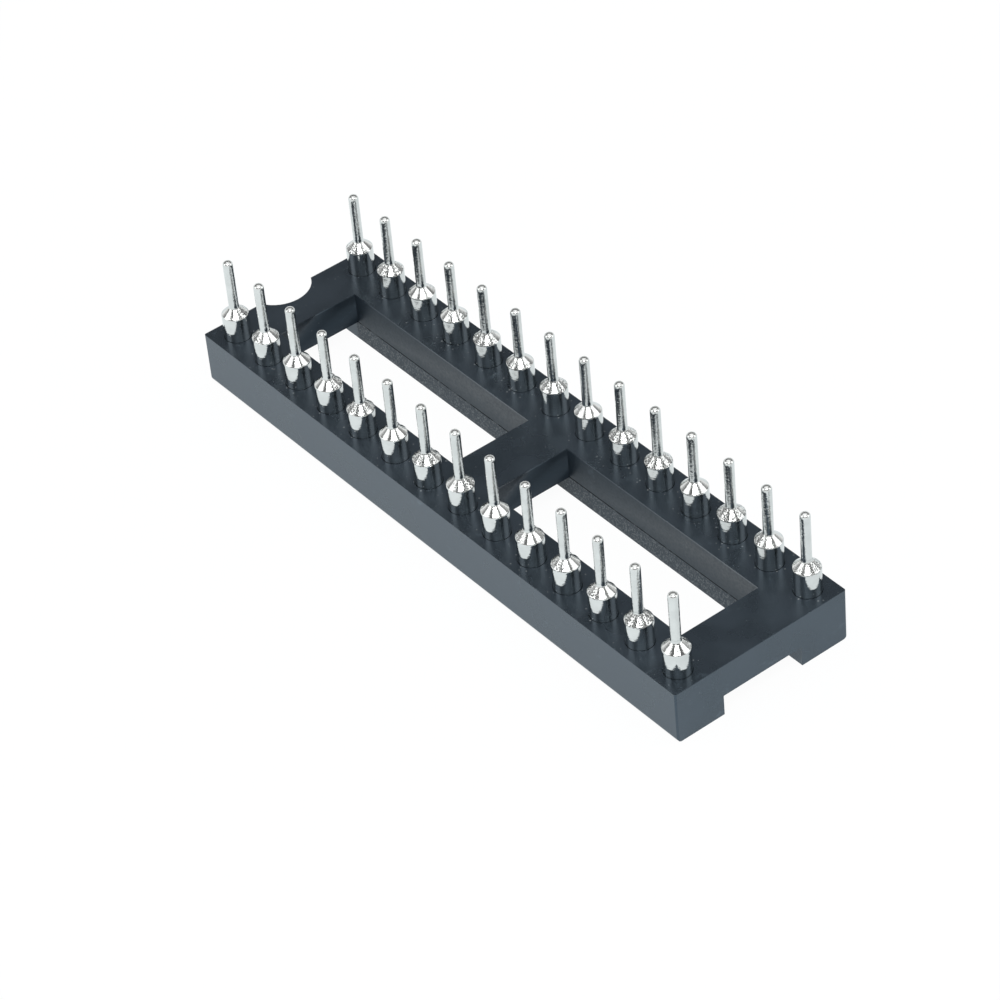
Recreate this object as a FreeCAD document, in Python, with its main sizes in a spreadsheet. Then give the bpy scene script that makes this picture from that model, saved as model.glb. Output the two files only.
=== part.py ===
import FreeCAD, Part
import os
import Sketcher

# Turned-contact socket for a dual-in-line circuit, narrow rows.
# It lies with its tails up: +Z runs out of the tail side, z = 0 is the face that the circuit sits above,
# X runs along the rows with the notched end at -X, and the origin is under the middle of the body.

SIZES = [
    ("PinPitch", 2.54, "from one contact to the next along a row"),
    ("RowSpacing", 7.62, "between the two rows of contacts"),
    ("RowCount", 14, "contacts in one row"),
    ("BodyThickness", 2.85, "moulded body from the circuit side to the tail side"),
    ("EndOverhang", 1.21, "from the last contact's axis out to the body's end face"),
    ("RailOutside", 1.2, "from a row's axis out to the body's long side"),
    ("RailInside", 1.535, "from a row's axis in to the open windows"),
    ("WindowCorner", 0.05, "radius in the windows' corners"),
    ("NotchBar", 2.62, "cross bar at the notched end, along the rows"),
    ("MiddleBar", 2.87, "cross bar in the middle, along the rows"),
    ("PlainBar", 2.8, "cross bar at the plain end, along the rows"),
    ("ChannelDepth", 1.1, "channel between the rails, under the cross bars"),
    ("PartingStep", 0.025, "channel's walls set back from the windows' walls"),
    ("NotchRadius", 1.68, "radius of the notch that marks the first contact"),
    ("NotchOutside", 0.71, "from the end face out to the notch's centre"),
    ("RailRounding", 0.25, "radius along the rails' outer edges on the circuit side"),
    ("MouthRecess", 0.05, "contact's mouth below the circuit-side face"),
    ("FlangeDiameter", 1.83, "flange round the contact's mouth, pressed into its seat"),
    ("FlangeThickness", 0.4, "that flange, along the contact"),
    ("BarrelDiameter", 1.35, "barrel of the contact"),
    ("BarrelClearance", 0.05, "between the barrel and its hole, on the radius"),
    ("Standoff", 1.35, "barrel standing out of the tail side up to its shoulder"),
    ("ShoulderRise", 0.39, "height of the conical shoulder"),
    ("TailDiameter", 0.5, "solder tail"),
    ("TailReach", 4.48, "from the tail side of the body to the tail's tip"),
    ("TipChamfer", 0.1, "bevel at the tail's tip"),
    ("MouthDiameter", 1.4, "funnel at its open end"),
    ("FunnelDepth", 0.35, "length of the funnel"),
    ("BoreDiameter", 0.95, "bore that holds the clip"),
    ("BoreDepth", 2.9, "from the contact's mouth to the end of its bore"),
    ("ClipSheet", 0.07, "thickness of the clip's spring strip"),
    ("CollarLength", 0.5, "collar that grips the bore"),
    ("FingerCount", 4, "spring fingers, one on every second flat of the collar"),
    ("FingerWidth", 0.26, "one finger"),
    ("FingerLength", 1.2, "from the collar to the fingers' ends"),
    ("FingerOpening", 0.52, "left between opposite fingers"),
]

# Closer than this, a point counts as lying on a face
TOUCHING = 1e-6

doc = FreeCAD.newDocument("Socket")


# Driving dimensions

def make_sheet():
    sheet = doc.addObject("Spreadsheet::Sheet", "Sizes")
    for row, (alias, number, meaning) in enumerate(SIZES, start=1):
        sheet.set(f"A{row}", meaning)
        sheet.set(f"B{row}", str(number))
        sheet.setAlias(f"B{row}", alias)
    doc.recompute()


make_sheet()


# Sketch helpers. An expression is written once and both draws a point and holds it in place.

def amount(owner, text):
    """What an expression over the sheet is worth now, asked of an object that may use it."""
    found = owner.evalExpression(text)
    return float(getattr(found, "Value", found))


def new_body(label):
    body = doc.addObject("PartDesign::Body", "Body_" + label)
    body.Label = label
    return body


def origin_feature(body, role):
    return next(f for f in body.Origin.OriginFeatures if f.Role == role)


def new_sketch(body, name, role="XY_Plane"):
    """A sketch on one of the body's own planes."""
    sketch = body.newObject("Sketcher::SketchObject", name)
    sketch.AttachmentSupport = [(origin_feature(body, role), "")]
    sketch.MapMode = "FlatFace"
    return sketch


def hold(sketch, geometry, point, across, up):
    """Hold a sketch point at two expressions, measured from the sketch's origin."""
    for kind, text, axis in (("DistanceX", across, -2), ("DistanceY", up, -1)):
        if text == "0":
            sketch.addConstraint(Sketcher.Constraint("PointOnObject", geometry, point, axis))
            continue
        constraint = Sketcher.Constraint(kind, -1, 1, geometry, point, amount(sketch, text))
        number = sketch.addConstraint(constraint)
        sketch.setExpression(f"Constraints[{number}]", text)


def draw_outline(sketch, corners):
    """A closed outline of straight lines through corners given as pairs of expressions."""
    points = [FreeCAD.Vector(amount(sketch, across), amount(sketch, up), 0) for across, up in corners]
    count = len(points)
    first = sketch.GeometryCount
    for i in range(count):
        sketch.addGeometry(Part.LineSegment(points[i], points[(i + 1) % count]), False)
    for i in range(count):
        following = first + (i + 1) % count
        sketch.addConstraint(Sketcher.Constraint("Coincident", first + i, 2, following, 1))
    for i, (across, up) in enumerate(corners):
        hold(sketch, first + i, 1, across, up)


def draw_rectangle(sketch, left, right, half_width):
    """A rectangle from left to right, centred on the sketch's X axis."""
    low = "-" + half_width
    draw_outline(sketch, [(left, low), (right, low), (right, half_width), (left, half_width)])


def draw_circle(sketch, across, up, diameter):
    centre = FreeCAD.Vector(amount(sketch, across), amount(sketch, up), 0)
    circle = Part.Circle(centre, FreeCAD.Vector(0, 0, 1), amount(sketch, diameter) / 2)
    number = sketch.addGeometry(circle, False)
    hold(sketch, number, 3, across, up)
    size = sketch.addConstraint(Sketcher.Constraint("Diameter", number, amount(sketch, diameter)))
    sketch.setExpression(f"Constraints[{size}]", diameter)


# Feature helpers

def pad(body, sketch, name, length, both_ways=False):
    feature = body.newObject("PartDesign::Pad", name)
    feature.Profile = sketch
    feature.setExpression("Length", length)
    feature.Midplane = both_ways
    return feature


def pocket(body, sketch, name, depth=None):
    """Cut upwards from the sketch: to a depth, or through everything."""
    before = body.Tip.Shape.Volume
    feature = body.newObject("PartDesign::Pocket", name)
    feature.Profile = sketch
    feature.Reversed = True
    if depth:
        feature.setExpression("Length", depth)
    else:
        feature.Type = "ThroughAll"
    doc.recompute()
    if feature.Shape.Volume >= before:
        raise RuntimeError(f"{name} cuts nothing")
    return feature


def fillet(body, name, radius, chosen):
    """Round the straight edges of the body's tip that the chosen test picks."""
    base = body.Tip
    numbered = enumerate(base.Shape.Edges, start=1)
    picked = [f"Edge{i}" for i, edge in numbered if len(edge.Vertexes) == 2 and chosen(edge)]
    if not picked:
        raise RuntimeError(f"{name} finds no edge")
    feature = body.newObject("PartDesign::Fillet", name)
    feature.Base = (base, picked)
    feature.setExpression("Radius", radius)
    doc.recompute()
    return feature


# Insulator: one moulded piece, two rails for the contacts joined by three cross bars.
# The bars are flush with the tail side and stop short of the circuit side, which leaves a channel.
# Its outline follows the grid of the contacts.

HALF_LENGTH = "((Sizes.RowCount - 1) * Sizes.PinPitch / 2 + Sizes.EndOverhang)"
HALF_WIDTH = "(Sizes.RowSpacing / 2 + Sizes.RailOutside)"
HALF_WINDOW = "(Sizes.RowSpacing / 2 - Sizes.RailInside)"


def make_insulator():
    body = new_body("insulator")

    blank = new_sketch(body, "BlankOutline")
    draw_rectangle(blank, "-" + HALF_LENGTH, HALF_LENGTH, HALF_WIDTH)
    pad(body, blank, "Blank", "Sizes.BodyThickness")
    doc.recompute()

    windows = new_sketch(body, "WindowOutlines")
    notch_window = ("-" + HALF_LENGTH + " + Sizes.NotchBar", "-Sizes.MiddleBar / 2")
    plain_window = ("Sizes.MiddleBar / 2", HALF_LENGTH + " - Sizes.PlainBar")
    for left, right in (notch_window, plain_window):
        draw_rectangle(windows, left, right, HALF_WINDOW)
    pocket(body, windows, "Windows")

    half_length = amount(body, HALF_LENGTH)
    half_window = amount(body, HALF_WINDOW)

    def window_corner(edge):
        start, end = [vertex.Point for vertex in edge.Vertexes]
        upright = abs(start.z - end.z) > start.distanceToPoint(FreeCAD.Vector(end.x, end.y, start.z))
        on_wall = abs(abs(start.y) - half_window) < TOUCHING
        return upright and on_wall and abs(start.x) < half_length

    fillet(body, "WindowCorners", "Sizes.WindowCorner", window_corner)

    channel = new_sketch(body, "ChannelOutline")
    draw_rectangle(channel, "-" + HALF_LENGTH, HALF_LENGTH, f"({HALF_WINDOW} + Sizes.PartingStep)")
    pocket(body, channel, "Channel", "Sizes.ChannelDepth")

    notch = new_sketch(body, "NotchOutline")
    draw_circle(notch, f"-({HALF_LENGTH} + Sizes.NotchOutside)", "0", "2 * Sizes.NotchRadius")
    pocket(body, notch, "Notch")

    half_width = amount(body, HALF_WIDTH)

    def rail_edge(edge):
        middle = edge.CenterOfMass
        return abs(abs(middle.y) - half_width) < TOUCHING and abs(middle.z) < TOUCHING

    fillet(body, "RailRoundings", "Sizes.RailRounding", rail_edge)

    first_column = "-(Sizes.RowCount - 1) / 2 * Sizes.PinPitch"
    holes = new_sketch(body, "HoleOutlines")
    seats = new_sketch(body, "SeatOutlines")
    for row in ("-Sizes.RowSpacing / 2", "Sizes.RowSpacing / 2"):
        draw_circle(holes, first_column, row, "Sizes.BarrelDiameter + 2 * Sizes.BarrelClearance")
        draw_circle(seats, first_column, row, "Sizes.FlangeDiameter")
    hole = pocket(body, holes, "FirstHoles")
    seat = pocket(body, seats, "FirstSeats", "Sizes.MouthRecess + Sizes.FlangeThickness")

    rows = body.newObject("PartDesign::LinearPattern", "HoleRows")
    rows.Originals = [hole, seat]
    rows.Direction = (origin_feature(body, "X_Axis"), [""])
    rows.setExpression("Length", "(Sizes.RowCount - 1) * Sizes.PinPitch")
    rows.setExpression("Occurrences", "Sizes.RowCount")
    body.Tip = rows
    return body


# Contact sleeve: turned from brass rod and plated, with a funnel and a bore from the circuit side,
# a flange that is pressed into its seat, a barrel, a conical shoulder and a solid tail.

def make_sleeve(label):
    body = new_body(label)
    shoulder = "Sizes.BodyThickness - Sizes.MouthRecess + Sizes.Standoff"
    tip = "Sizes.BodyThickness - Sizes.MouthRecess + Sizes.TailReach"
    section = new_sketch(body, "Section_" + label, "XZ_Plane")
    draw_outline(section, [
        ("0", "Sizes.BoreDepth"),
        ("Sizes.BoreDiameter / 2", "Sizes.BoreDepth"),
        ("Sizes.BoreDiameter / 2", "Sizes.FunnelDepth"),
        ("Sizes.MouthDiameter / 2", "0"),
        ("Sizes.FlangeDiameter / 2", "0"),
        ("Sizes.FlangeDiameter / 2", "Sizes.FlangeThickness"),
        ("Sizes.BarrelDiameter / 2", "Sizes.FlangeThickness"),
        ("Sizes.BarrelDiameter / 2", shoulder),
        ("Sizes.TailDiameter / 2", f"{shoulder} + Sizes.ShoulderRise"),
        ("Sizes.TailDiameter / 2", f"{tip} - Sizes.TipChamfer"),
        ("Sizes.TailDiameter / 2 - Sizes.TipChamfer", tip),
        ("0", tip),
    ])
    turned = body.newObject("PartDesign::Revolution", "Turned_" + label)
    turned.Profile = section
    turned.ReferenceAxis = (section, ["V_Axis"])
    turned.Angle = 360
    return body


# Contact clip: stamped from spring strip, rolled into a faceted collar and pressed into the bore.
# Its fingers lean inwards from the collar and grip the circuit's lead.

def make_clip(label):
    body = new_body(label)
    flats = "2 * Sizes.FingerCount"
    half_facet = f"180 deg / ({flats})"
    flat_outside = f"Sizes.BoreDiameter / 2 * cos({half_facet})"
    collar_start = "Sizes.FunnelDepth"

    collar = body.newObject("PartDesign::AdditivePrism", "Collar_" + label)
    hollow = body.newObject("PartDesign::SubtractivePrism", "Hollow_" + label)
    for prism in (collar, hollow):
        prism.AttachmentSupport = [(origin_feature(body, "XY_Plane"), "")]
        prism.MapMode = "FlatFace"
        prism.setExpression("AttachmentOffset.Base.z", collar_start)
        prism.setExpression("AttachmentOffset.Rotation.Angle", half_facet)
        prism.setExpression("Polygon", flats)
        prism.setExpression("Height", "Sizes.CollarLength")
    collar.setExpression("Circumradius", "Sizes.BoreDiameter / 2")
    hollow.setExpression("Circumradius", f"Sizes.BoreDiameter / 2 - Sizes.ClipSheet / cos({half_facet})")

    finger_start = "Sizes.FunnelDepth + Sizes.CollarLength"
    finger_end = f"{finger_start} + Sizes.FingerLength"
    side = new_sketch(body, "FingerSide_" + label, "XZ_Plane")
    draw_outline(side, [
        (f"{flat_outside} - Sizes.ClipSheet", finger_start),
        (flat_outside, finger_start),
        ("Sizes.FingerOpening / 2 + Sizes.ClipSheet", finger_end),
        ("Sizes.FingerOpening / 2", finger_end),
    ])
    finger = pad(body, side, "Finger_" + label, "Sizes.FingerWidth", both_ways=True)
    fingers = body.newObject("PartDesign::PolarPattern", "Fingers_" + label)
    fingers.Originals = [finger]
    fingers.Axis = (origin_feature(body, "Z_Axis"), [""])
    fingers.Angle = 360
    fingers.setExpression("Occurrences", "Sizes.FingerCount")
    body.Tip = fingers
    return body


# Assembly. Seen from the circuit side the contacts count anticlockwise, beginning at the notch.

def seat_contact(body, number, row_count):
    """Put a sleeve or clip, whose own z = 0 is the contact's mouth, into its hole."""
    if number <= row_count:
        column, side = f"{number} - (Sizes.RowCount + 1) / 2", "1"
    else:
        column, side = f"(3 * Sizes.RowCount + 1) / 2 - {number}", "-1"
    body.setExpression("Placement.Base.x", f"({column}) * Sizes.PinPitch")
    body.setExpression("Placement.Base.y", f"{side} * Sizes.RowSpacing / 2")
    body.setExpression("Placement.Base.z", "Sizes.MouthRecess")


pieces = [make_insulator()]
row_count = round(amount(pieces[0], "Sizes.RowCount"))
for number in range(1, 2 * row_count + 1):
    sleeve = make_sleeve(f"contact_sleeve_{number:02d}")
    clip = make_clip(f"contact_clip_{number:02d}")
    for piece in (sleeve, clip):
        seat_contact(piece, number, row_count)
        pieces.append(piece)
doc.recompute()


# Every object has to be sound before anything is written

for item in doc.Objects:
    if "Invalid" in item.State or "Error" in item.State:
        raise RuntimeError(f"{item.Label} failed: {item.State}")
for piece in pieces:
    if piece.Shape.isNull() or not piece.Shape.isValid() or len(piece.Shape.Solids) != 1:
        raise RuntimeError(f"{piece.Label} isn't one sound solid")

os.makedirs("parts", exist_ok=True)
for piece in pieces:
    piece.Shape.exportStep(os.path.join("parts", piece.Label + ".step"))
    print(piece.Label, round(piece.Shape.Volume, 4))
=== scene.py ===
# A dual-in-line socket for an integrated circuit with 28 turned contacts. It lies circuit side down with its
# solder tails standing up. Each section below dresses one kind of piece, in the order of assembly.

import functools
import itertools
import math

import bmesh
import bpy
import numpy as np
from mathutils import Matrix, Vector


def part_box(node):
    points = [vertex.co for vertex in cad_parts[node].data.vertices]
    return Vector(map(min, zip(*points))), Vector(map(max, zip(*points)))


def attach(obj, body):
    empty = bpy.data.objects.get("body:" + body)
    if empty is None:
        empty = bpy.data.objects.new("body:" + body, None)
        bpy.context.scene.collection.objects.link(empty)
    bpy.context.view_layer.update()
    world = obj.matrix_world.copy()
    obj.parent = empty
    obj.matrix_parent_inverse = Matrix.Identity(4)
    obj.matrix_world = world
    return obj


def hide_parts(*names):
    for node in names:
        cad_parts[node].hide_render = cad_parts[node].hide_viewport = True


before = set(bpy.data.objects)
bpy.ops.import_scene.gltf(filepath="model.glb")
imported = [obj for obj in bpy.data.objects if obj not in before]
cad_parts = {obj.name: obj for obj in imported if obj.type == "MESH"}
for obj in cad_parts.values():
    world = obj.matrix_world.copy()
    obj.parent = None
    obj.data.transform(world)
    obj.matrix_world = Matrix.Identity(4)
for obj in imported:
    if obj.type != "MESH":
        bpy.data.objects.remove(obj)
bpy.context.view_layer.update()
MM = 0.001


# Insulator: one injection moulding of black glass-filled polyester, two rails joined by three bars. Its
# edges are eased as a moulding's are, but the rims of the contacts' holes stay sharp. Below a hairline along
# the rails' inner walls, the other mould half leaves them mottled and rougher. The hairline is painted black
# as the shade in its gap, and the inner walls get a lighter pigment as painted light.

CONTACTS = 28
PIN_PITCH = 2.54
ROW_HALF = 3.81
BODY_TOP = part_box("insulator")[1].z / MM
PARTING_HEIGHT = 1.10
HALF_HAIRLINE = 0.045
HALF_CHANNEL = 2.35
INNER_END = 15.2
HALF_WINDOW = 2.275
WINDOW_ENDS = (-15.10, -1.435, 1.435, 14.92)
WINDOW_ROUNDING = 0.05 * MM
EDGE_EASE = 0.028 * MM
CORNER_RADIUS = 0.10 * MM
CORNER_CUTS = (0.0, 0.268, 0.577)
HOLE_REACH = 0.95 * MM
HOLE_RIM = 0.692 * MM
TOUCHING = 0.001 * MM
LEVEL_WITH = 0.01 * MM
ON_PLANE = 1e-8
NEVER_ZERO = 1e-12
FLAT_TURN = math.radians(0.5)
SHARP_TURN = math.radians(35)
BLACK_PIGMENT = (0.008, 0.012, 0.016, 1)
THIN_PIGMENT = (0.013, 0.018, 0.024, 1)
# Painted light: the inner walls' pigment is lighter and bluer than the rest of the same moulding.
INNER_WALL_PAINTED_LIGHT = (0.013, 0.020, 0.028, 1)
DUST_GREY = (0.30, 0.32, 0.33, 1)
SMEAR_GREY = (0.21, 0.28, 0.34, 1)
# Painted shade: the black of the shade inside the parting line's hairline gap.
HAIRLINE_PAINTED_SHADE = (0.002, 0.002, 0.003, 1)


def add(tree, kind, inputs=None, **settings):
    """Adds a node. Each of its inputs gets either the socket that feeds it or its own value."""
    node = tree.nodes.new(kind)
    for name, value in settings.items():
        setattr(node, name, value)
    for name, value in (inputs or {}).items():
        if isinstance(value, bpy.types.NodeSocket):
            tree.links.new(value, node.inputs[name])
        else:
            node.inputs[name].default_value = value
    return node


def new_material(name):
    """An empty material and its node tree."""
    material = bpy.data.materials.new(name)
    material.use_nodes = True
    material.node_tree.nodes.clear()
    return material, material.node_tree


def millimetres(tree, stretch=(1, 1, 1)):
    """The piece's own coordinates in millimetres, each axis multiplied by its stretch."""
    place = add(tree, "ShaderNodeTexCoord").outputs["Object"]
    scale = [k / MM for k in stretch]
    return add(tree, "ShaderNodeMapping", {"Vector": place, "Scale": scale}).outputs["Vector"]


def math_node(tree, operation, a, b=0.0):
    """One operation on two sockets or numbers."""
    return add(tree, "ShaderNodeMath", {0: a, 1: b}, operation=operation).outputs[0]


def product(tree, *factors):
    """All the factors multiplied together."""
    return functools.reduce(functools.partial(math_node, tree, "MULTIPLY"), factors)


def blend_of(tree, share, first, second):
    """The first number turning into the second by share."""
    return add(tree, "ShaderNodeMix", {0: share, 2: first, 3: second}, data_type="FLOAT").outputs[0]


def noise(tree, place, scale, detail=3.0, roughness=0.5):
    """Cloudy noise from 0 to 1, about 0.5 on average, with so many clouds to a millimetre."""
    inputs = {"Vector": place, "Scale": scale, "Detail": detail, "Roughness": roughness}
    return add(tree, "ShaderNodeTexNoise", inputs).outputs["Fac"]


def from_to(tree, value, low, high, start=0.0, end=1.0):
    """Carries value smoothly from start at low to end at high, and holds it outside."""
    bounds = {"Value": value, "From Min": low, "From Max": high, "To Min": start, "To Max": end}
    return add(tree, "ShaderNodeMapRange", bounds, interpolation_type="SMOOTHSTEP").outputs["Result"]


def mixed(tree, share, first, second):
    """The first colour turning into the second by share."""
    node = add(tree, "ShaderNodeMix", data_type="RGBA")
    for socket, value in ((0, share), (6, first), (7, second)):
        if isinstance(value, bpy.types.NodeSocket):
            tree.links.new(value, node.inputs[socket])
        else:
            node.inputs[socket].default_value = value
    return node.outputs[2]


def bump(tree, height, strength, depth, under=None):
    """Lifts the surface by up to depth millimetres where height is 1, on top of the bumps under it."""
    inputs = {"Height": height, "Strength": strength, "Distance": depth * MM}
    if under is not None:
        inputs["Normal"] = under
    return add(tree, "ShaderNodeBump", inputs).outputs["Normal"]


def specks(tree, place, scale, rarity, reach):
    """Scattered round specks, from scale cells to a millimetre. A cell whose random number is over rarity
    gets one of up to reach millimetres in radius, with a soft edge of a quarter of that."""
    cells = add(tree, "ShaderNodeTexVoronoi", {"Vector": place, "Scale": scale, "Randomness": 1.0})
    radius = from_to(tree, cells.outputs["Color"], rarity, 1.0, 0.0, reach * scale)
    depth = math_node(tree, "SUBTRACT", radius, cells.outputs["Distance"])
    return from_to(tree, depth, 0.0, 0.25 * reach * scale)


def moulded_plastic():
    """Glossy black moulding with cloudy pigment, faint flow streaks, dust, swarf beside the contacts and
    rubbed smears. The inner walls are less glossy, with a lighter pigment as painted light, and mottled
    below the parting line's open hairline, which is painted black as its shade."""
    material, tree = new_material("black_moulded_polyester")
    place = millimetres(tree)
    axes = add(tree, "ShaderNodeSeparateXYZ", {"Vector": place}).outputs
    along = math_node(tree, "ABSOLUTE", axes["X"])
    across = math_node(tree, "ABSOLUTE", axes["Y"])
    in_channel = from_to(tree, across, HALF_CHANNEL, HALF_CHANNEL - 0.03)
    inside = product(tree, in_channel, from_to(tree, along, INNER_END + 0.2, INNER_END))
    inner = product(tree, inside, from_to(tree, axes["Z"], BODY_TOP - 0.03, BODY_TOP - 0.10))
    dull = product(tree, from_to(tree, axes["Z"], PARTING_HEIGHT + 0.01, PARTING_HEIGHT - 0.02), inside)

    clouds = noise(tree, place, scale=0.45)
    grain = noise(tree, place, scale=9.0, detail=4.0)
    flow = noise(tree, millimetres(tree, stretch=(0.5, 9, 14)), scale=1.0)
    rub = noise(tree, millimetres(tree, stretch=(1.1, 0.8, 1.4)), scale=1.0, detail=5.0, roughness=0.62)
    mottle = noise(tree, place, scale=11.0, detail=3.0, roughness=0.7)

    line = {0: axes["Z"], 1: PARTING_HEIGHT, 2: HALF_HAIRLINE}
    at_line = add(tree, "ShaderNodeMath", line, operation="COMPARE")
    on_wall = from_to(tree, across, HALF_CHANNEL - 0.13, HALF_CHANNEL - 0.09)
    broken = from_to(tree, noise(tree, place, scale=2.2), 0.36, 0.44, 0.35, 1.0)
    hairline = product(tree, at_line.outputs[0], on_wall, inside, broken)

    pigment = mixed(tree, from_to(tree, clouds, 0.3, 0.7), BLACK_PIGMENT, THIN_PIGMENT)
    # Painted light: the inner walls get a lighter pigment than the rest of the moulding.
    pigment = mixed(tree, inner, pigment, INNER_WALL_PAINTED_LIGHT)
    mottled = product(tree, from_to(tree, mottle, 0.48, 0.66), dull, 0.45)
    pigment = mixed(tree, mottled, pigment, DUST_GREY)

    coarse_dust = product(tree, specks(tree, place, scale=1.7, rarity=0.60, reach=0.070), 0.22)
    fine_dust = product(tree, specks(tree, place, scale=4.3, rarity=0.55, reach=0.045), 0.20)
    on_top = from_to(tree, axes["Z"], BODY_TOP - 0.03, BODY_TOP - 0.01, 0.6, 1.0)
    dust = product(tree, math_node(tree, "MAXIMUM", coarse_dust, fine_dust), on_top)

    pitch_share = math_node(tree, "FRACT", math_node(tree, "DIVIDE", axes["X"], PIN_PITCH))
    aside = product(tree, math_node(tree, "SUBTRACT", pitch_share, 0.5), PIN_PITCH)
    away = math_node(tree, "SUBTRACT", across, ROW_HALF)
    squares = [math_node(tree, "POWER", side, 2) for side in (aside, away)]
    from_contact = math_node(tree, "SQRT", math_node(tree, "ADD", *squares))
    swarf = specks(tree, place, scale=5.5, rarity=0.42, reach=0.060)
    swarf = product(tree, swarf, from_to(tree, from_contact, 1.45, 0.80), 0.5)

    colour = mixed(tree, math_node(tree, "MAXIMUM", dust, swarf), pigment, DUST_GREY)
    colour = mixed(tree, from_to(tree, rub, 0.60, 0.80, 0.0, 0.16), colour, SMEAR_GREY)
    # Painted shade: the hairline along the parting line is painted black and loses its reflection.
    colour = mixed(tree, hairline, colour, HAIRLINE_PAINTED_SHADE)

    smooth_skin = from_to(tree, clouds, 0.3, 0.7, 0.26, 0.32)
    rough_skin = from_to(tree, grain, 0.3, 0.7, 0.34, 0.44)
    outer_gloss = from_to(tree, axes["Z"], BODY_TOP - 0.03, BODY_TOP - 0.01, 0.64, 0.46)
    gloss = from_to(tree, inner, 0.0, 1.0, outer_gloss, 0.22)

    pits = product(tree, grain, from_to(tree, dull, 0.0, 1.0, 0.15, 1.0))
    streaked = bump(tree, flow, strength=0.15, depth=0.01)
    surface = add(tree, "ShaderNodeBsdfPrincipled", {
        "Base Color": colour,
        "Specular IOR Level": product(tree, gloss, math_node(tree, "SUBTRACT", 1.0, hairline)),
        "Roughness": blend_of(tree, inner, smooth_skin, rough_skin),
        "IOR": 1.70,
        "Specular Tint": (0.62, 0.81, 1.0, 1),
        "Normal": bump(tree, pits, strength=0.5, depth=0.012, under=streaked),
    })
    add(tree, "ShaderNodeOutputMaterial", {"Surface": surface.outputs["BSDF"]})
    return material


def contact_places():
    """The contacts' axes, as an array of X and Y."""
    boxes = [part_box(f"contact_sleeve_{number:02d}") for number in range(1, CONTACTS + 1)]
    middles = [sum(box, Vector()) / 2 for box in boxes]
    return np.array([(middle.x, middle.y) for middle in middles])


def eased_edges(mesh, points, sharp):
    """How far each edge is eased: in full where it is sharp, but not within HOLE_REACH of a contact's axis
    nor at the parting line's narrow ledge."""
    ends = np.empty(len(mesh.edges) * 2, dtype=np.int64)
    mesh.edges.foreach_get("vertices", ends)
    span = points[ends.reshape(-1, 2)]
    gaps = np.linalg.norm(span.mean(axis=1)[:, None, :2] - contact_places()[None], axis=2).min(axis=1)
    at_ledge = (np.abs(span[:, :, 2] - PARTING_HEIGHT * MM) < LEVEL_WITH).any(axis=1)
    return np.where((gaps < HOLE_REACH) | at_ledge, 0.0, sharp)


def cut_beside_corners(shell, outer):
    """Cuts the shell with upright planes beside its four outer corners, so that a corner can be rounded.
    The planes lie CORNER_CUTS of the corner's radius outside the line at outer, along X and along Y."""
    for axis, sign, share in itertools.product((0, 1), (-1, 1), CORNER_CUTS):
        place = Vector()
        place[axis] = sign * (outer[axis] + share * CORNER_RADIUS)
        normal = Vector()
        normal[axis] = 1
        geometry = shell.verts[:] + shell.edges[:] + shell.faces[:]
        bmesh.ops.bisect_plane(shell, geom=geometry, plane_co=place, plane_no=normal, dist=ON_PLANE)


def rounded_corners(points, outer):
    """Turns the square beside each outer corner into a quarter disc. With u and v as a point's distances
    outside outer along X and Y, the point slides to (u, v) max(u, v) / sqrt(u^2 + v^2)."""
    beyond = np.maximum(np.abs(points[:, :2]) - outer, 0)
    beside = (beyond > 0).all(axis=1)
    shrink = beyond.max(axis=1) / np.maximum(np.hypot(*beyond.T), NEVER_ZERO)
    rounded = np.sign(points[:, :2]) * (outer + beyond * shrink[:, None])
    return np.column_stack([np.where(beside[:, None], rounded, points[:, :2]), points[:, 2]])


def drafted_holes(points):
    """Draws the rim of each contact's hole in to HOLE_RIM, so that it narrows towards the tail side."""
    away = points[:, None, :2] - contact_places()[None]
    gaps = np.linalg.norm(away, axis=2)
    nearest = gaps.argmin(axis=1)
    gap = gaps.min(axis=1)
    at_rim = (gap < HOLE_REACH) & (points[:, 2] > BODY_TOP * MM - LEVEL_WITH)
    inward = away[np.arange(len(points)), nearest] * (HOLE_RIM / gap - 1)[:, None]
    return points + np.column_stack([np.where(at_rim[:, None], inward, 0), np.zeros(len(points))])


def squared_windows(points):
    """Draws each point of the windows' small corner roundings to its corner, where the walls would meet."""
    corners = np.array(list(itertools.product(WINDOW_ENDS, (-HALF_WINDOW, HALF_WINDOW)))) * MM
    gaps = np.abs(points[:, None, :2] - corners[None]).max(axis=2)
    in_window = np.abs(points[:, 1]) < HALF_WINDOW * MM + TOUCHING
    at_corner = (gaps.min(axis=1) < WINDOW_ROUNDING + TOUCHING) & in_window
    moved = np.where(at_corner[:, None], corners[gaps.argmin(axis=1)], points[:, :2])
    return np.column_stack([moved, points[:, 2]])


def vertex_places(mesh):
    """The vertices' places, as one row of three for each."""
    places = np.empty(len(mesh.vertices) * 3)
    mesh.vertices.foreach_get("co", places)
    return places.reshape(-1, 3)


insulator = bpy.data.objects.new("moulded_insulator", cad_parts["insulator"].data.copy())
bpy.context.scene.collection.objects.link(insulator)
insulator.data.vertices.foreach_set("co", squared_windows(vertex_places(insulator.data)).ravel())
shell = bmesh.new()
shell.from_mesh(insulator.data)
bmesh.ops.remove_doubles(shell, verts=shell.verts, dist=TOUCHING)
bmesh.ops.dissolve_limit(shell, angle_limit=FLAT_TURN, verts=shell.verts, edges=shell.edges)
corner_lines = np.array(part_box("insulator")[1][:2]) - CORNER_RADIUS
cut_beside_corners(shell, corner_lines)
turns = np.array([edge.calc_face_angle(0.0) for edge in shell.edges])
shell.to_mesh(insulator.data)
shell.free()
points = drafted_holes(rounded_corners(vertex_places(insulator.data), corner_lines))
insulator.data.vertices.foreach_set("co", points.ravel())
sharp = turns > SHARP_TURN
ease = eased_edges(insulator.data, points, sharp)
insulator.data.shade_smooth()
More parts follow.
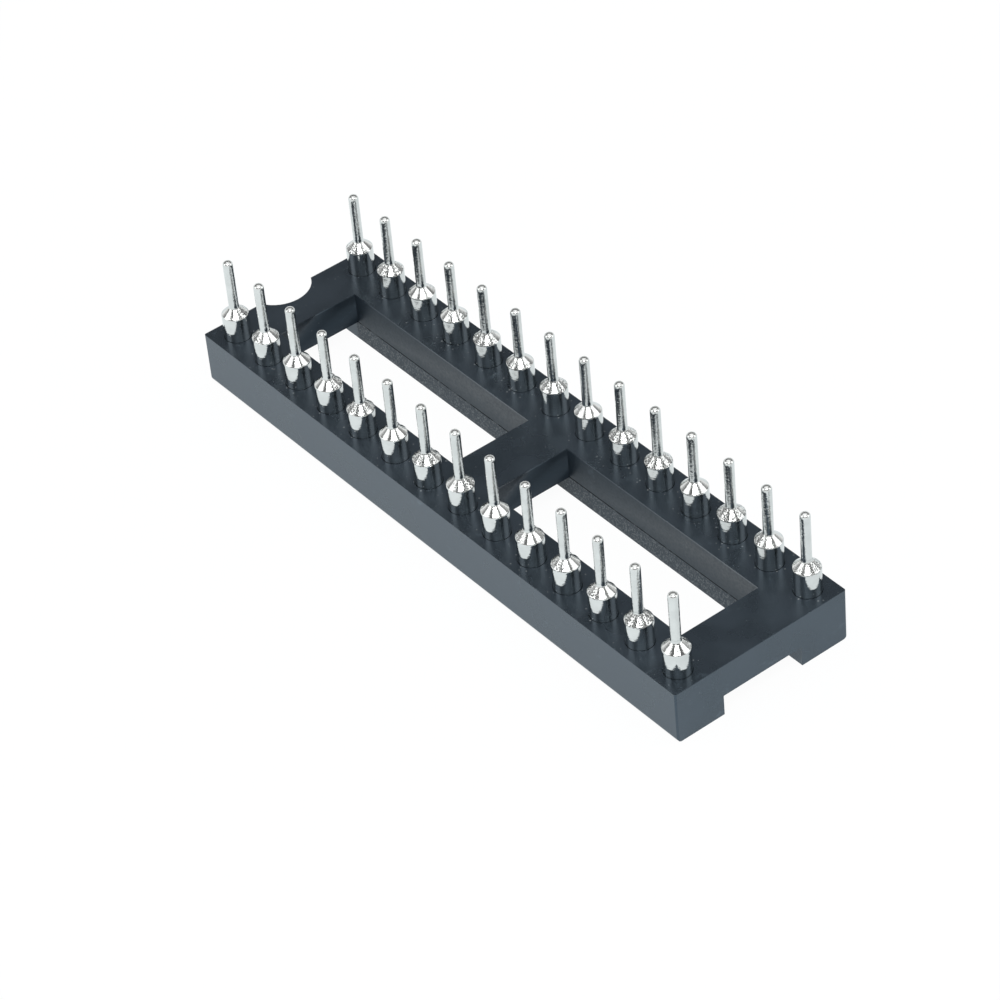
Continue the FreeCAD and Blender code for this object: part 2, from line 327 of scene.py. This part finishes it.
insulator.data.attributes.new("bevel_weight_edge", "FLOAT", "EDGE").data.foreach_set("value", ease)
insulator.data.attributes.new("sharp_edge", "BOOLEAN", "EDGE").data.foreach_set("value", sharp & (ease == 0))
eased = insulator.modifiers.new("Eased edges", "BEVEL")
eased.width = EDGE_EASE
eased.segments = 3
eased.limit_method = "WEIGHT"
flat_faces = insulator.modifiers.new("Flat faces stay flat", "WEIGHTED_NORMAL")
flat_faces.mode = "FACE_AREA"
flat_faces.weight = 100
flat_faces.keep_sharp = True
insulator.data.materials.clear()
insulator.data.materials.append(moulded_plastic())
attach(insulator, "root")
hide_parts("insulator")


# Contact sleeves: pins turned from brass bar and tin plated, each with a flange pressed into its seat, a
# barrel, a conical shoulder and a solder tail with a domed tip. The cutting tool leaves fine rings all along
# them and dimples on the shoulder. Heights are over the circuit side, in millimetres.

SLEEVE_LOW, SLEEVE_HIGH = (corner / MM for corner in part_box("contact_sleeve_01"))
MOUTH = SLEEVE_LOW.z
TIP = SLEEVE_HIGH.z
FLANGE_TOP = MOUTH + 0.40
RIM = BODY_TOP + 1.35
TAIL_FOOT = RIM + 0.39
FLANGE_RADIUS = 0.915
BARREL_RADIUS = 0.675
TAIL_RADIUS = 0.25
FUNNEL_RADIUS = 0.70
BORE_RADIUS = 0.475
FUNNEL_END = MOUTH + 0.35
BORE_END = MOUTH + 2.90
SLEEVE_SIDES = 96
SEAM_TURN = 0.4
DIMPLES_AROUND = 26
DIMPLES_ALONG = 10
GREY_TIN = (0.63, 0.645, 0.635, 1)
PALE_TIN = (0.68, 0.695, 0.685, 1)
# Painted shade: the colour given to the dimples' floors.
DIMPLE_PAINTED_SHADE = (0.07, 0.07, 0.07, 1)

# Each corner's radius and height, and how far before and after it the rounding begins and ends
SLEEVE_CORNERS = np.array([
    (0.0, TIP, 0.0, 0.0),
    (TAIL_RADIUS, TIP, 0.245, 0.20),
    (TAIL_RADIUS, TAIL_FOOT, 0.05, 0.04),
    (BARREL_RADIUS, RIM, 0.040, 0.045),
    (BARREL_RADIUS, FLANGE_TOP, 0.010, 0.010),
    (FLANGE_RADIUS, FLANGE_TOP, 0.020, 0.020),
    (FLANGE_RADIUS, MOUTH, 0.020, 0.020),
    (FUNNEL_RADIUS, MOUTH, 0.020, 0.020),
    (BORE_RADIUS, FUNNEL_END, 0.030, 0.030),
    (BORE_RADIUS, BORE_END, 0.020, 0.020),
    (0.0, BORE_END, 0.0, 0.0),
])


def eased_section(table, steps=7, guard=0.004):
    """A section through corners, with each inner corner rounded. The rounding is a parabola: it leaves the
    incoming side at distance before, aims at the corner, and joins the outgoing side at distance after.
    One more point a guard's width outside each end keeps the straight sides straight when shaded smooth."""
    corners = table[:, :2]
    before, after = table[1:-1, 2:].T
    corner = corners[1:-1]
    back = corners[:-2] - corner
    on = corners[2:] - corner
    back /= np.linalg.norm(back, axis=1)[:, None]
    on /= np.linalg.norm(on, axis=1)[:, None]
    start = corner + back * before[:, None]
    end = corner + on * after[:, None]
    t = np.linspace(0, 1, steps)[None, :, None]
    curve = (1 - t) ** 2 * start[:, None] + 2 * t * (1 - t) * corner[:, None] + t ** 2 * end[:, None]
    leading = (start + back * guard)[:, None]
    trailing = (end + on * guard)[:, None]
    rounded = np.concatenate([leading, curve, trailing], axis=1).reshape(-1, 2)
    return np.vstack([corners[:1], rounded, corners[-1:]])


def turned_mesh(name, section, centre, sides=SLEEVE_SIDES):
    """A closed surface of revolution: the section's radius swept round the vertical line through centre.
    The first and last points of the section lie on that line and close the surface with a fan each.
    The UV map holds the turn as a share of one and the length along the section in millimetres."""
    turn = (np.arange(sides) / sides + SEAM_TURN) * 2 * np.pi
    radius, height = section[1:-1].T
    x = centre[0] + np.outer(np.cos(turn), radius) * MM
    y = centre[1] + np.outer(np.sin(turn), radius) * MM
    z = np.broadcast_to(height * MM, x.shape)
    rings = np.stack([x, y, z], axis=-1).reshape(-1, 3)
    poles = [(centre[0], centre[1], section[k, 1] * MM) for k in (0, -1)]
    count = len(radius)
    first, last = len(rings), len(rings) + 1

    i, j = np.meshgrid(np.arange(sides), np.arange(count - 1), indexing="ij")
    following = (i + 1) % sides
    here, beyond = i * count + j, following * count + j
    walls = np.stack([here, here + 1, beyond + 1, beyond], -1)
    around = np.arange(sides)
    onward = (around + 1) % sides
    tip = np.stack([around * count, onward * count, np.full(sides, first)], -1)
    floor = np.stack([onward * count + count - 1, around * count + count - 1, np.full(sides, last)], -1)

    mesh = bpy.data.meshes.new(name)
    faces = walls.reshape(-1, 4).tolist() + tip.tolist() + floor.tolist()
    mesh.from_pydata(np.vstack([rings, poles]), [], faces)

    run = np.concatenate([[0], np.cumsum(np.linalg.norm(np.diff(section, axis=0), axis=1))])
    u, v = i / sides, run[1:-1][j]
    next_u, next_v = (i + 1) / sides, run[1:-1][j + 1]
    wall_uv = np.stack([u, v, u, next_v, next_u, next_v, next_u, v], -1).reshape(-1, 2)
    share, share_on = around / sides, (around + 1) / sides
    start = np.full(sides, run[1])
    end = np.full(sides, run[-2])
    tip_uv = np.stack([share, start, share_on, start, share, start * 0], -1).reshape(-1, 2)
    floor_uv = np.stack([share_on, end, share, end, share, start * 0 + run[-1]], -1).reshape(-1, 2)
    uv = mesh.uv_layers.new(name="turning")
    uv.data.foreach_set("uv", np.vstack([wall_uv, tip_uv, floor_uv]).astype(np.float32).ravel())
    mesh.shade_smooth()
    return mesh


def tin_plate():
    """Bright tin over turned brass: rings from the tool, dimples on the shoulder with painted shade in their
    floors, stronger on some contacts than on others, a faint cloud in the plating, and a drawn grain on the
    duller tail."""
    material, tree = new_material("bright_tin_plate")
    place = millimetres(tree)
    axes = add(tree, "ShaderNodeSeparateXYZ", {"Vector": place}).outputs
    turning = add(tree, "ShaderNodeUVMap", uv_map="turning").outputs["UV"]
    turned = add(tree, "ShaderNodeSeparateXYZ", {"Vector": turning}).outputs
    around, along = turned["X"], turned["Y"]

    ring_inputs = {"W": along, "Scale": 12.0, "Detail": 1.0}
    rings = add(tree, "ShaderNodeTexNoise", ring_inputs, noise_dimensions="1D").outputs["Fac"]
    clouds = noise(tree, place, scale=1.6, detail=4.0)
    frost = noise(tree, place, scale=16.0)
    grain = noise(tree, millimetres(tree, stretch=(9, 9, 7)), scale=1.0, detail=3.0, roughness=0.6)
    chance = noise(tree, millimetres(tree, stretch=(0.37, 0.45, 0.5)), scale=1.0, detail=1.0)
    patchy = from_to(tree, noise(tree, place, scale=3.5), 0.32, 0.46)

    cell = add(tree, "ShaderNodeCombineXYZ", {
        "X": math_node(tree, "ADD", product(tree, around, DIMPLES_AROUND), axes["X"]),
        "Y": math_node(tree, "ADD", product(tree, along, DIMPLES_ALONG), axes["Y"]),
    }).outputs["Vector"]
    cell_inputs = {"Vector": cell, "Scale": 1.0, "Randomness": 0.8}
    pits = add(tree, "ShaderNodeTexVoronoi", cell_inputs, voronoi_dimensions="2D").outputs["Distance"]
    raised = from_to(tree, pits, 0.24, 0.40)
    above_rim = from_to(tree, axes["Z"], RIM - 0.06, RIM)
    below_tail = from_to(tree, axes["Z"], TAIL_FOOT + 0.05, TAIL_FOOT)
    struck = product(tree, above_rim, below_tail, from_to(tree, chance, 0.45, 0.53, 1.0, 0.05))
    # Painted shade: the dimples' floors are darkened in the colour.
    shadow = product(tree, struck, math_node(tree, "SUBTRACT", 1.0, raised), patchy, 0.90)

    colour = mixed(tree, from_to(tree, clouds, 0.35, 0.65), GREY_TIN, PALE_TIN)
    colour = mixed(tree, shadow, colour, DIMPLE_PAINTED_SHADE)

    plated = from_to(tree, frost, 0.3, 0.7, 0.03, 0.08)
    worn_tip = from_to(tree, axes["Z"], TIP - 0.26, TIP - 0.14, 0.0, 0.22)
    dull_tail = from_to(tree, axes["Z"], TAIL_FOOT + 0.10, TAIL_FOOT + 0.30, 0.0, 0.13)
    roughness = math_node(tree, "MAXIMUM", math_node(tree, "MAXIMUM", plated, worn_tip), dull_tail)

    on_tail = from_to(tree, axes["Z"], TAIL_FOOT + 0.05, TAIL_FOOT + 0.25, 0.15, 1.0)
    off_dome = from_to(tree, axes["Z"], TIP - 0.15, TIP - 0.30, 0.1, 1.0)
    cut = bump(tree, rings, strength=0.5, depth=0.006)
    dimpled = bump(tree, product(tree, struck, raised), strength=1.0, depth=0.012, under=cut)
    drawn = bump(tree, product(tree, grain, on_tail, off_dome), strength=1.0, depth=0.016, under=dimpled)
    surface = add(tree, "ShaderNodeBsdfPrincipled", {
        "Base Color": colour,
        "Metallic": 1.0,
        "Roughness": roughness,
        "Normal": bump(tree, frost, strength=0.35, depth=0.006, under=drawn),
    })
    add(tree, "ShaderNodeOutputMaterial", {"Surface": surface.outputs["BSDF"]})
    return material


sleeve_section = eased_section(SLEEVE_CORNERS)
tin = tin_plate()
for number, centre in enumerate(contact_places(), start=1):
    name = f"turned_sleeve_{number:02d}"
    sleeve = bpy.data.objects.new(name, turned_mesh(name, sleeve_section, centre))
    bpy.context.scene.collection.objects.link(sleeve)
    sleeve.data.materials.append(tin)
    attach(sleeve, "root")
    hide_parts(f"contact_sleeve_{number:02d}")


# Contact clips: a stamped collar of hard beryllium copper with four springing fingers, gold plated, pressed
# into each sleeve's bore behind the funnel. The fingers lean inwards and grip the circuit's lead.

DEEP_GOLD = (0.80, 0.56, 0.20, 1)
PALE_GOLD = (0.88, 0.66, 0.28, 1)


def gold_plate():
    """Thin bright gold on spring sheet, with the fine grain of rolled metal."""
    material, tree = new_material("gold_plated_spring")
    grain = noise(tree, millimetres(tree, stretch=(1, 1, 0.2)), scale=30.0)
    surface = add(tree, "ShaderNodeBsdfPrincipled", {
        "Base Color": mixed(tree, from_to(tree, grain, 0.35, 0.65), DEEP_GOLD, PALE_GOLD),
        "Metallic": 1.0,
        "Roughness": from_to(tree, grain, 0.3, 0.7, 0.14, 0.24),
        "Normal": bump(tree, grain, strength=0.2, depth=0.003),
    })
    add(tree, "ShaderNodeOutputMaterial", {"Surface": surface.outputs["BSDF"]})
    return material


gold = gold_plate()
for number in range(1, CONTACTS + 1):
    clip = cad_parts[f"contact_clip_{number:02d}"]
    clip.data.materials.clear()
    clip.data.materials.append(gold)


# Studio: a white board under the socket, in a light tent that is bright at the horizon and dim overhead,
# with large panels above and at the sides and one small bare lamp. The board shows nearly plain white to the
# camera and in reflections, where a painted glow brightens it towards the left, and keeps the object's soft
# shadow.

HALF_FLOOR = 3.0
FLOOR_LEVEL = -0.01 * MM
WHITE_SEEN = 0.96
WHITE_MIRRORED = 0.8
PAINTED_GLOW_RIGHT = 0.96
PAINTED_GLOW_LEFT = 1.09
BOARD_WHITE = (0.88, 0.96, 1.0, 1)
MIRRORED_WHITE = (0.95, 0.99, 1.0, 1)
PLAIN_WHITE = (1, 1, 1, 1)
HORIZON_GLOW = 1.20
OVERHEAD_GLOW = 0.22


def floor_finish():
    """Matt white board. The camera sees mostly plain white, and in reflections it glows a little brighter
    towards the left of the socket, as in the photograph: painted light."""
    material, tree = new_material("white_board")
    rays = add(tree, "ShaderNodeLightPath").outputs
    camera_ray = rays["Is Camera Ray"]
    mirrored = math_node(tree, "MAXIMUM", rays["Is Glossy Ray"], rays["Is Transmission Ray"])
    seen_share = product(tree, camera_ray, WHITE_SEEN)
    share = math_node(tree, "MAXIMUM", seen_share, product(tree, mirrored, WHITE_MIRRORED))

    place = add(tree, "ShaderNodeTexCoord").outputs["Object"]
    along_y = add(tree, "ShaderNodeSeparateXYZ", {"Vector": place}).outputs["Y"]
    # Painted light: in reflections the board glows brighter towards the left.
    painted_glow = from_to(tree, along_y, 0.0, -10 * MM, PAINTED_GLOW_RIGHT, PAINTED_GLOW_LEFT)
    plain = add(tree, "ShaderNodeEmission", {
        "Color": mixed(tree, camera_ray, MIRRORED_WHITE, PLAIN_WHITE),
        "Strength": blend_of(tree, camera_ray, painted_glow, 1.0),
    })
    board = add(tree, "ShaderNodeBsdfDiffuse", {"Color": BOARD_WHITE})
    shares = {0: share, 1: board.outputs["BSDF"], 2: plain.outputs["Emission"]}
    both = add(tree, "ShaderNodeMixShader", shares)
    add(tree, "ShaderNodeOutputMaterial", {"Surface": both.outputs["Shader"]})
    return material


board_mesh = bpy.data.meshes.new("floor")
corners = [(x * HALF_FLOOR, y * HALF_FLOOR, FLOOR_LEVEL) for x, y in ((-1, -1), (1, -1), (1, 1), (-1, 1))]
board_mesh.from_pydata(corners, [], [(0, 1, 2, 3)])
floor = bpy.data.objects.new("floor", board_mesh)
floor.data.materials.append(floor_finish())
bpy.context.scene.collection.objects.link(floor)

world = bpy.data.worlds.new("light_tent")
bpy.context.scene.world = world
world.use_nodes = True
tent = world.node_tree
tent.nodes.clear()
direction = add(tent, "ShaderNodeTexCoord").outputs["Generated"]
rise = add(tent, "ShaderNodeSeparateXYZ", {"Vector": direction}).outputs["Z"]
glow = from_to(tent, rise, 0.02, 0.50, HORIZON_GLOW, OVERHEAD_GLOW)
camera_ray = add(tent, "ShaderNodeLightPath").outputs["Is Camera Ray"]
strength = blend_of(tent, camera_ray, glow, 1.0)
background = add(tent, "ShaderNodeBackground", {"Color": PLAIN_WHITE, "Strength": strength})
add(tent, "ShaderNodeOutputWorld", {"Surface": background.outputs["Background"]})


def softbox(name, azimuth, elevation, width, height, brightness, distance=0.60):
    """A lamp panel that faces the socket from azimuth and elevation, counted in degrees.
    It looks width by height degrees from the socket. Its face is as bright as its power over four times its
    area, so the power makes that brightness, where 1 is white."""
    a, e = math.radians(azimuth), math.radians(elevation)
    out = Vector((math.sin(a) * math.cos(e), -math.cos(a) * math.cos(e), math.sin(e)))
    lamp = bpy.data.lights.new(name, "AREA")
    lamp.shape = "RECTANGLE"
    lamp.size = 2 * distance * math.tan(math.radians(width / 2))
    lamp.size_y = 2 * distance * math.tan(math.radians(height / 2))
    lamp.energy = brightness * 4 * lamp.size * lamp.size_y
    panel = bpy.data.objects.new(name, lamp)
    panel.location = out * distance
    panel.rotation_euler = (-out).to_track_quat("-Z", "Y").to_euler()
    bpy.context.scene.collection.objects.link(panel)


softbox("key_panel", azimuth=57, elevation=63, width=34, height=24, brightness=4.2)
softbox("bare_lamp", azimuth=47, elevation=60, width=4, height=8, brightness=30)
softbox("ceiling_panel", azimuth=235, elevation=72, width=44, height=40, brightness=1.0)
softbox("left_panel", azimuth=-29, elevation=36, width=33, height=46, brightness=1.2)
softbox("right_panel", azimuth=138, elevation=36, width=34, height=46, brightness=1.2)


# Camera: a long lens above the socket's plain end, at the photograph's viewing angle. Its place and axes
# come from setting the contacts and the insulator's edges against the photograph.

CAMERA_PLACE = Vector((0.117744, -0.082999, 0.121934))
RIGHT = Vector((0.6228, 0.7786, -0.0769))
AHEAD = Vector((-0.6264, 0.4372, -0.6453))
LENS_ON_36_MM = 144.05

camera = bpy.data.objects.new("camera", bpy.data.cameras.new("camera"))
camera.data.sensor_width = 36
camera.data.lens = LENS_ON_36_MM
camera.data.clip_start = 0.01
camera.data.clip_end = 20
turn = Matrix((RIGHT, RIGHT.cross(AHEAD), -AHEAD)).transposed().to_4x4()
camera.matrix_world = Matrix.Translation(CAMERA_PLACE) @ turn
bpy.context.scene.collection.objects.link(camera)
bpy.context.scene.camera = camera
bpy.context.scene.view_settings.view_transform = "Standard"
